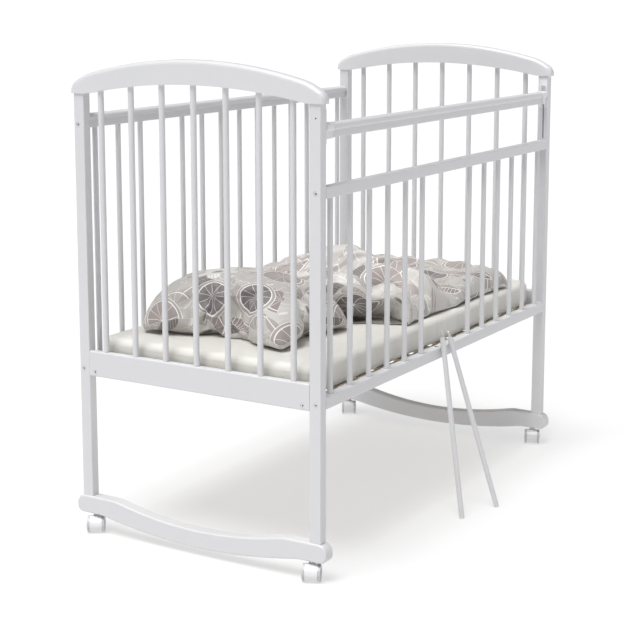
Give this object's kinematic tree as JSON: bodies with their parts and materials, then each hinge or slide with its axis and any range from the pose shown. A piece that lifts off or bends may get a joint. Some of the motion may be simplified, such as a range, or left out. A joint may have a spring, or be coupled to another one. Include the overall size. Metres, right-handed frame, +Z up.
{
  "type": "baby crib",
  "caption": "White wooden rocking crib with arched ends, rodded sides, a drop bar, lift-out front rods, twin-wheel casters, slatted base, mattress, pillow and duvet.",
  "frame": {"origin": "on the floor, in the middle of the footprint that includes the two leaning rods; the crib's own middle plane is at y = 0.056", "axes": "+X from the head end to the foot end, -Y the front with the drop bar, +Z up"},
  "size_m": [1.2842, 0.8143, 1.1479],
  "materials": {
    "white_paint": "white satin lacquer on beech",
    "bare_wood": "bare planed birch",
    "white_plastic": "white moulded plastic, fine matte",
    "caster_plastic": "white moulded plastic, half gloss",
    "caster_wheel": "white moulded nylon, half gloss",
    "zinc_steel": "zinc plated",
    "spring_steel": "drawn spring wire",
    "mattress_cover": "ivory quilted cotton over foam",
    "printed_cotton": "printed cotton over fibre filling"
  },
  "bodies": {
    "crib_frame": {"head_front_post": "white_paint", "head_back_post": "white_paint", "foot_front_post": "white_paint", "foot_back_post": "white_paint", "head_arch_rail": "white_paint", "head_lower_rail": "white_paint", "head_rods": "white_paint", "head_rocker": "white_paint", "foot_arch_rail": "white_paint", "foot_lower_rail": "white_paint", "foot_rods": "white_paint", "foot_rocker": "white_paint", "back_top_rail": "white_paint", "back_bottom_rail": "white_paint", "back_rods": "white_paint", "front_bottom_rail": "white_paint", "front_mid_rail": "white_paint", "front_rods": "white_paint", "rail_bolts": "zinc_steel", "barrel_nuts": "zinc_steel", "base_bolts": "zinc_steel", "rocker_screws": "zinc_steel", "drop_guide_head": "white_plastic", "drop_guide_foot": "white_plastic", "button_spring_head": "spring_steel", "button_spring_foot": "spring_steel", "base_long_bars": "bare_wood", "base_end_bars": "bare_wood", "base_slats": "bare_wood", "caster_sleeves": "white_plastic"},
    "drop_bar": {"drop_bar": "white_paint", "drop_bar_head_cap": "white_plastic", "drop_bar_foot_cap": "white_plastic"},
    "release_button_head": {"release_button_head": "white_plastic"},
    "release_button_foot": {"release_button_foot": "white_plastic"},
    "lift_out_rod_one": {"lift_out_rod_one": "white_paint", "pin_spring_one": "spring_steel"},
    "lift_out_rod_two": {"lift_out_rod_two": "white_paint", "pin_spring_two": "spring_steel"},
    "spring_pin_one": {"spring_pin_one": "zinc_steel"},
    "spring_pin_two": {"spring_pin_two": "zinc_steel"},
    "mattress": {"mattress": "mattress_cover"},
    "pillow": {"pillow": "printed_cotton"},
    "duvet": {"duvet": "printed_cotton"},
    "caster_head_front": {"caster_hood_head_front": "caster_plastic", "caster_stem_head_front": "zinc_steel"},
    "caster_wheels_head_front": {"caster_wheels_head_front": "caster_wheel", "caster_axle_head_front": "zinc_steel"},
    "caster_head_back": {"caster_hood_head_back": "caster_plastic", "caster_stem_head_back": "zinc_steel"},
    "caster_wheels_head_back": {"caster_wheels_head_back": "caster_wheel", "caster_axle_head_back": "zinc_steel"},
    "caster_foot_front": {"caster_hood_foot_front": "caster_plastic", "caster_stem_foot_front": "zinc_steel"},
    "caster_wheels_foot_front": {"caster_wheels_foot_front": "caster_wheel", "caster_axle_foot_front": "zinc_steel"},
    "caster_foot_back": {"caster_hood_foot_back": "caster_plastic", "caster_stem_foot_back": "zinc_steel"},
    "caster_wheels_foot_back": {"caster_wheels_foot_back": "caster_wheel", "caster_axle_foot_back": "zinc_steel"}
  },
  "joints": [
    {"name": "drop_bar_slide", "type": "slide", "parent": "crib_frame", "child": "drop_bar", "axis": [0, 0, 1], "range_m": [-0.1, 0]},
    {"name": "release_button_head_press", "type": "slide", "parent": "crib_frame", "child": "release_button_head", "axis": [-1, 0, 0], "range_m": [0, 0.0035], "stiffness_N_per_m": 150, "springref_m": -0.004, "deforming": ["button_spring_head"]},
    {"name": "release_button_foot_press", "type": "slide", "parent": "crib_frame", "child": "release_button_foot", "axis": [1, 0, 0], "range_m": [0, 0.0035], "stiffness_N_per_m": 150, "springref_m": -0.004, "deforming": ["button_spring_foot"]},
    {"name": "rod_one_carry_off", "type": "slide", "parent": "crib_frame", "child": "lift_out_rod_one", "axis": [0, -1, 0], "range_m": [0, 0.25]},
    {"name": "spring_pin_one_press", "type": "slide", "parent": "lift_out_rod_one", "child": "spring_pin_one", "axis": [-0.0841, -0.1754, -0.9809], "range_m": [0, 0.012], "stiffness_N_per_m": 150, "springref_m": -0.005, "deforming": ["pin_spring_one"]},
    {"name": "rod_two_carry_off", "type": "slide", "parent": "crib_frame", "child": "lift_out_rod_two", "axis": [0, -1, 0], "range_m": [0, 0.25]},
    {"name": "spring_pin_two_press", "type": "slide", "parent": "lift_out_rod_two", "child": "spring_pin_two", "axis": [0.0984, -0.2585, -0.961], "range_m": [0, 0.012], "stiffness_N_per_m": 150, "springref_m": -0.005, "deforming": ["pin_spring_two"]},
    {"name": "mattress_lift", "type": "slide", "parent": "crib_frame", "child": "mattress", "axis": [0, 0, 1], "range_m": [0, 0.4]},
    {"name": "pillow_lift", "type": "slide", "parent": "mattress", "child": "pillow", "axis": [0, 0, 1], "range_m": [0, 0.25]},
    {"name": "duvet_lift", "type": "slide", "parent": "mattress", "child": "duvet", "axis": [0, 0, 1], "range_m": [0, 0.25]},
    {"name": "caster_swivel_head_front", "type": "hinge", "parent": "crib_frame", "child": "caster_head_front", "pos_m": [-0.615, -0.251, 0.047], "axis": [0, 0, 1], "continuous": true},
    {"name": "wheel_spin_head_front", "type": "hinge", "parent": "caster_head_front", "child": "caster_wheels_head_front", "pos_m": [-0.62231, -0.25425, 0.02], "axis": [-0.4067, 0.9135, 0], "continuous": true},
    {"name": "caster_swivel_head_back", "type": "hinge", "parent": "crib_frame", "child": "caster_head_back", "pos_m": [-0.615, 0.363, 0.047], "axis": [0, 0, 1], "continuous": true},
    {"name": "wheel_spin_head_back", "type": "hinge", "parent": "caster_head_back", "child": "caster_wheels_head_back", "pos_m": [-0.62171, 0.35864, 0.02], "axis": [-0.5446, 0.8387, 0], "continuous": true},
    {"name": "caster_swivel_foot_front", "type": "hinge", "parent": "crib_frame", "child": "caster_foot_front", "pos_m": [0.615, -0.251, 0.047], "axis": [0, 0, 1], "continuous": true},
    {"name": "wheel_spin_foot_front", "type": "hinge", "parent": "caster_foot_front", "child": "caster_wheels_foot_front", "pos_m": [0.60758, -0.254, 0.02], "axis": [-0.3746, 0.9272, 0], "continuous": true},
    {"name": "caster_swivel_foot_back", "type": "hinge", "parent": "crib_frame", "child": "caster_foot_back", "pos_m": [0.615, 0.363, 0.047], "axis": [0, 0, 1], "continuous": true},
    {"name": "wheel_spin_foot_back", "type": "hinge", "parent": "caster_foot_back", "child": "caster_wheels_foot_back", "pos_m": [0.60794, 0.35924, 0.02], "axis": [-0.4695, 0.8829, 0], "continuous": true}
  ]
}
